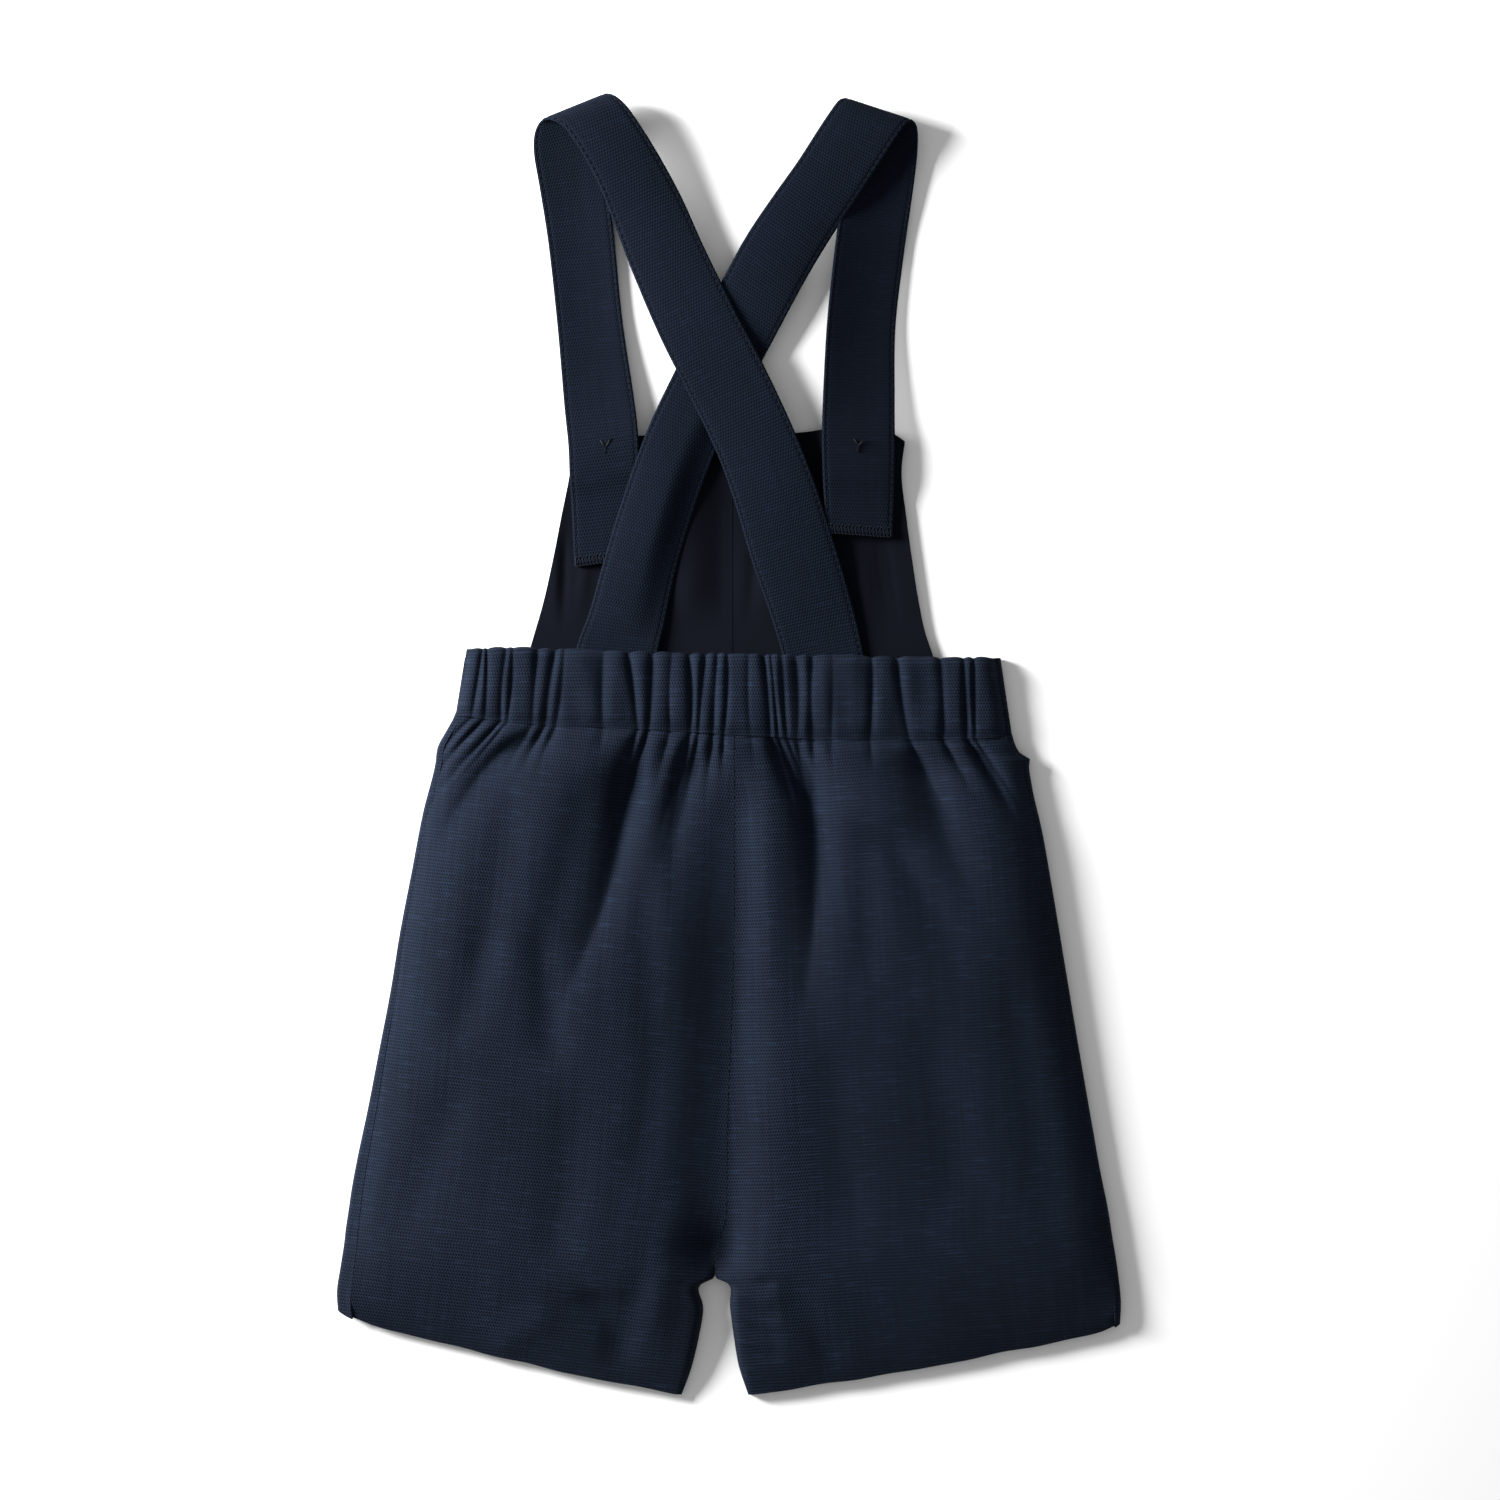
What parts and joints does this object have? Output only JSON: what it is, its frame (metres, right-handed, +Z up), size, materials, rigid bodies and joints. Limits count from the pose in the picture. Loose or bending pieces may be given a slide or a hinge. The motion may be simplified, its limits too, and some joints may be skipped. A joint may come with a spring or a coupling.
{
  "type": "child's shortalls",
  "caption": "Child's navy linen shortalls laid flat face down: gathered elastic back waist, leg panels with a centre-back seam, lined bib and two shoulder straps crossed on the back.",
  "frame": {"origin": "centre of the bounding box on the surface the garment lies on", "axes": "+Z up, away from the surface, +Y from the leg hems to the shoulder loops, +X to the right of someone who looks down on the back"},
  "size_m": [0.3375, 0.5599, 0.0146],
  "materials": {
    "linen": "matt woven linen, navy",
    "cotton_lining": "smooth matt cotton, dark purple navy",
    "button_resin": "satin resin, dark navy"
  },
  "bodies": {
    "root": {"back_panel_left": "linen", "back_panel_right": "linen", "front_panel_left": "linen", "front_panel_right": "linen", "back_waistband": "linen", "front_waistband": "linen", "bib_front": "linen", "bib_lining_left": "cotton_lining", "bib_lining_right": "cotton_lining", "strap_left": "linen", "strap_right": "linen", "button_left": "button_resin", "button_right": "button_resin"}
  },
  "joints": []
}
